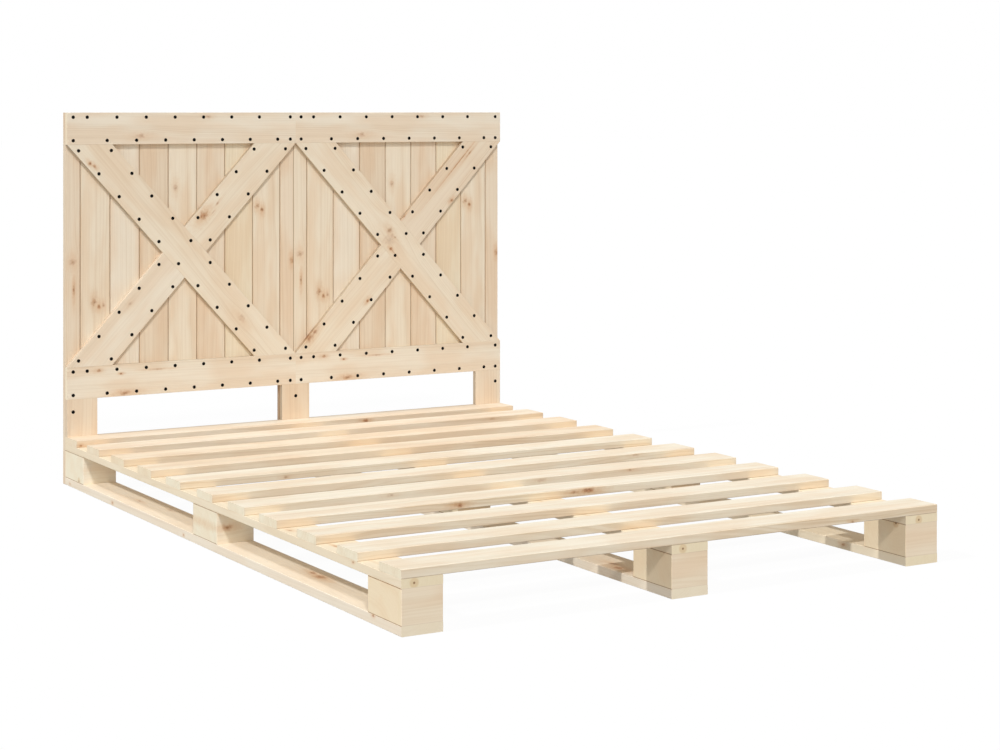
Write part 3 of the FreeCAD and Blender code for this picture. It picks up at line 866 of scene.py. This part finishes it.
nail_heads = bpy.data.objects.new("nail_heads", head_mesh)
bpy.context.scene.collection.objects.link(nail_heads)
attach(nail_heads, "root")
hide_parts("headboard_nails")
print("faces per nail head:", len(head_mesh.polygons) / len(nail_boxes))

# %% [markdown]
# ## Black finish of the nails
#
# The nails are steel with a baked black coat. A coat isn't metal to the eye, so
# metallic stays 0. Hammer marks about 2 mm apart give the broken, soft shine: one
# noise changes colour, roughness and relief together, as a real dent does.

# %% Black nail finish
HAMMER_MM = 2.0
DENT_MM = 0.2
black = bpy.data.materials.new("baked_black_nail")
black.use_nodes = True
tree = black.node_tree
tree.nodes.clear()
source = add(tree, "TexCoord")
marks = add(tree, "TexNoise", {
    "Vector": source.outputs["Object"], "Scale": 1 / (HAMMER_MM * MM), "Detail": 2.0})
coat = add(tree, "Mix", {
    0: marks.outputs["Fac"], 6: linear("#0b0a09"), 7: linear("#161311")},
    data_type="RGBA")
rough = add(tree, "MapRange", {0: marks.outputs["Fac"], 3: 0.6, 4: 0.8})
bump = add(tree, "Bump", {
    "Height": marks.outputs["Fac"], "Strength": 0.5, "Distance": DENT_MM * MM})
shader = add(tree, "BsdfPrincipled", {
    "Base Color": coat.outputs[2], "Roughness": rough.outputs[0],
    "Normal": bump.outputs["Normal"], "IOR": 1.45, "Specular IOR Level": 0.12})
add(tree, "OutputMaterial", {"Surface": shader.outputs[0]})
head_mesh.materials.append(black)
print("nail finish:", black.name)

# %% [markdown]
# ## Zinc-plated screws
#
# The screws sit under the deck and in the back, so they are only seen from below
# or behind. Zinc plate is a bluish grey metal, a little cloudy and rippled. A
# metal keeps the default IOR, and its colour is its reflection. A plain grey
# would look like plastic, so a noise varies colour and roughness a little.

# %% Zinc finish
CLOUD_MM = 5.0
RIPPLE_MM = 0.1
zinc = bpy.data.materials.new("zinc_plated_screw")
zinc.use_nodes = True
tree = zinc.node_tree
tree.nodes.clear()
source = add(tree, "TexCoord")
cloud = add(tree, "TexNoise", {
    "Vector": source.outputs["Object"], "Scale": 1 / (CLOUD_MM * MM), "Detail": 3.0})
plate = add(tree, "Mix", {
    0: cloud.outputs["Fac"], 6: linear("#b9bdc1"), 7: linear("#d3d5d4")},
    data_type="RGBA")
rough = add(tree, "MapRange", {0: cloud.outputs["Fac"], 3: 0.28, 4: 0.45})
bump = add(tree, "Bump", {
    "Height": cloud.outputs["Fac"], "Strength": 0.2, "Distance": RIPPLE_MM * MM})
shader = add(tree, "BsdfPrincipled", {
    "Base Color": plate.outputs[2], "Metallic": 1.0, "Roughness": rough.outputs[0],
    "Normal": bump.outputs["Normal"]})
add(tree, "OutputMaterial", {"Surface": shader.outputs[0]})
for name in ("slat_screws", "long_screws"):
    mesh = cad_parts[name].data
    mesh.materials.clear()
    mesh.materials.append(zinc)
print("screw finish:", zinc.name)

# %% [markdown]
# ## A white studio
#
# A catalogue picture has a white background and soft light. Floor and world are
# white for what the camera, a reflection or clear material sees, and plain grey
# as sources of bounced light. So the background is white without more light on
# the wood. The floor is like a lit glass table: it gives the same soft light from
# below everywhere, also between the slats, where a paper floor would lie in
# shade. A small share of its look is still real light, which keeps a hint of the
# bed's shadow. The floor lies a hair below the sleds, because two faces in one
# plane flicker.

# %% Floor and world
FLOOR_HALF_M = 60.0
FLOOR_DROP_MM = 0.5
FLOOR_SHADOW_SHARE = 0.04
FLOOR_GLOW = 0.45
WORLD_GLOW = 0.36


def seen_directly(tree):
    """One for rays of the camera, of reflections and through clear material."""
    rays = add(tree, "LightPath").outputs
    either = add(tree, "Math", {0: rays["Is Camera Ray"], 1: rays["Is Glossy Ray"]},
                 operation="MAXIMUM")
    return add(tree, "Math", {0: either.outputs[0], 1: rays["Is Transmission Ray"]},
               operation="MAXIMUM").outputs[0]


floor_mesh = bpy.data.meshes.new("studio_floor")
sheet = bmesh.new()
bmesh.ops.create_grid(sheet, x_segments=1, y_segments=1, size=FLOOR_HALF_M,
                      matrix=Matrix.Translation((0, 0, -FLOOR_DROP_MM * MM)))
sheet.to_mesh(floor_mesh)
sheet.free()
floor = bpy.data.objects.new("studio_floor", floor_mesh)
bpy.context.scene.collection.objects.link(floor)

table = bpy.data.materials.new("lit_glass_table")
table.use_nodes = True
tree = table.node_tree
tree.nodes.clear()
bounce = add(tree, "Emission", {"Color": linear("#ffffff"), "Strength": FLOOR_GLOW})
glow = add(tree, "Emission", {"Color": linear("#ffffff"), "Strength": 1.0})
lit = add(tree, "BsdfDiffuse", {"Color": linear("#ffffff")})
shown = add(tree, "MixShader", {
    0: FLOOR_SHADOW_SHARE, 1: glow.outputs[0], 2: lit.outputs[0]})
mixed = add(tree, "MixShader", {
    0: seen_directly(tree), 1: bounce.outputs[0], 2: shown.outputs[0]})
add(tree, "OutputMaterial", {"Surface": mixed.outputs[0]})
floor_mesh.materials.append(table)

world = bpy.data.worlds.new("studio_world")
bpy.context.scene.world = world
world.use_nodes = True
tree = world.node_tree
tree.nodes.clear()
strength = add(tree, "MapRange", {0: seen_directly(tree), 3: WORLD_GLOW, 4: 1.0})
sky = add(tree, "Background", {"Color": linear("#ffffff"), "Strength": strength.outputs[0]})
add(tree, "OutputWorld", {"Surface": sky.outputs[0]})
print("floor and world:", floor.name, "and", world.name)

# %% [markdown]
# ## Lamps
#
# Three suns do the work of three soft boxes, because a sun gives the same light
# everywhere and its disc sets how soft the shadow is. The side lamp draws the
# crisp shadows of the slats on the sleds, the front lamp lights the ends of the
# blocks, and a very wide one fills from the front.

# %% Lamps
LAMPS = {
    # name: way the light travels, strength in W/m2, width of its disc in degrees
    "side_lamp": ((0.690, 0.0, -0.724), 1.58, 3),
    "front_lamp": ((0.270, 0.713, -0.647), 1.19, 5),
    "front_fill": ((0.3, 0.86, -0.42), 0.46, 40),
}
for lamp_name, (travel, strength, disc) in LAMPS.items():
    light = bpy.data.lights.new(lamp_name, "SUN")
    light.energy = strength
    light.angle = math.radians(disc)
    lamp = bpy.data.objects.new(lamp_name, light)
    lamp.rotation_euler = Vector(travel).to_track_quat("-Z", "Y").to_euler()
    bpy.context.scene.collection.objects.link(lamp)
print("lamps:", ", ".join(LAMPS))

# %% [markdown]
# ## Camera
#
# The upright lines of the bed stay upright in the picture, so the camera looks
# level and its lens is shifted down. Place, turn and lens follow from where the
# edges of slats, sleds and headboard meet in the picture.

# %% Camera
SENSOR_MM = 36.0
LENS_MM = 77.05
LENS_SHIFT = -0.264
FAR_M = 200.0
CAMERA_M = (-2.67883, -4.77896, 1.0444)
CAMERA_TURN_DEG = -30.386

camera_data = bpy.data.cameras.new("camera")
camera_data.sensor_width = SENSOR_MM
camera_data.lens = LENS_MM
camera_data.shift_y = LENS_SHIFT
camera_data.clip_end = FAR_M
camera = bpy.data.objects.new("camera", camera_data)
camera.location = CAMERA_M
camera.rotation_euler = (math.radians(90), 0.0, math.radians(CAMERA_TURN_DEG))
bpy.context.scene.collection.objects.link(camera)
bpy.context.scene.camera = camera
bpy.context.scene.view_settings.view_transform = "Standard"
print("camera:", LENS_MM, "mm lens,", CAMERA_M[2], "m above the floor")
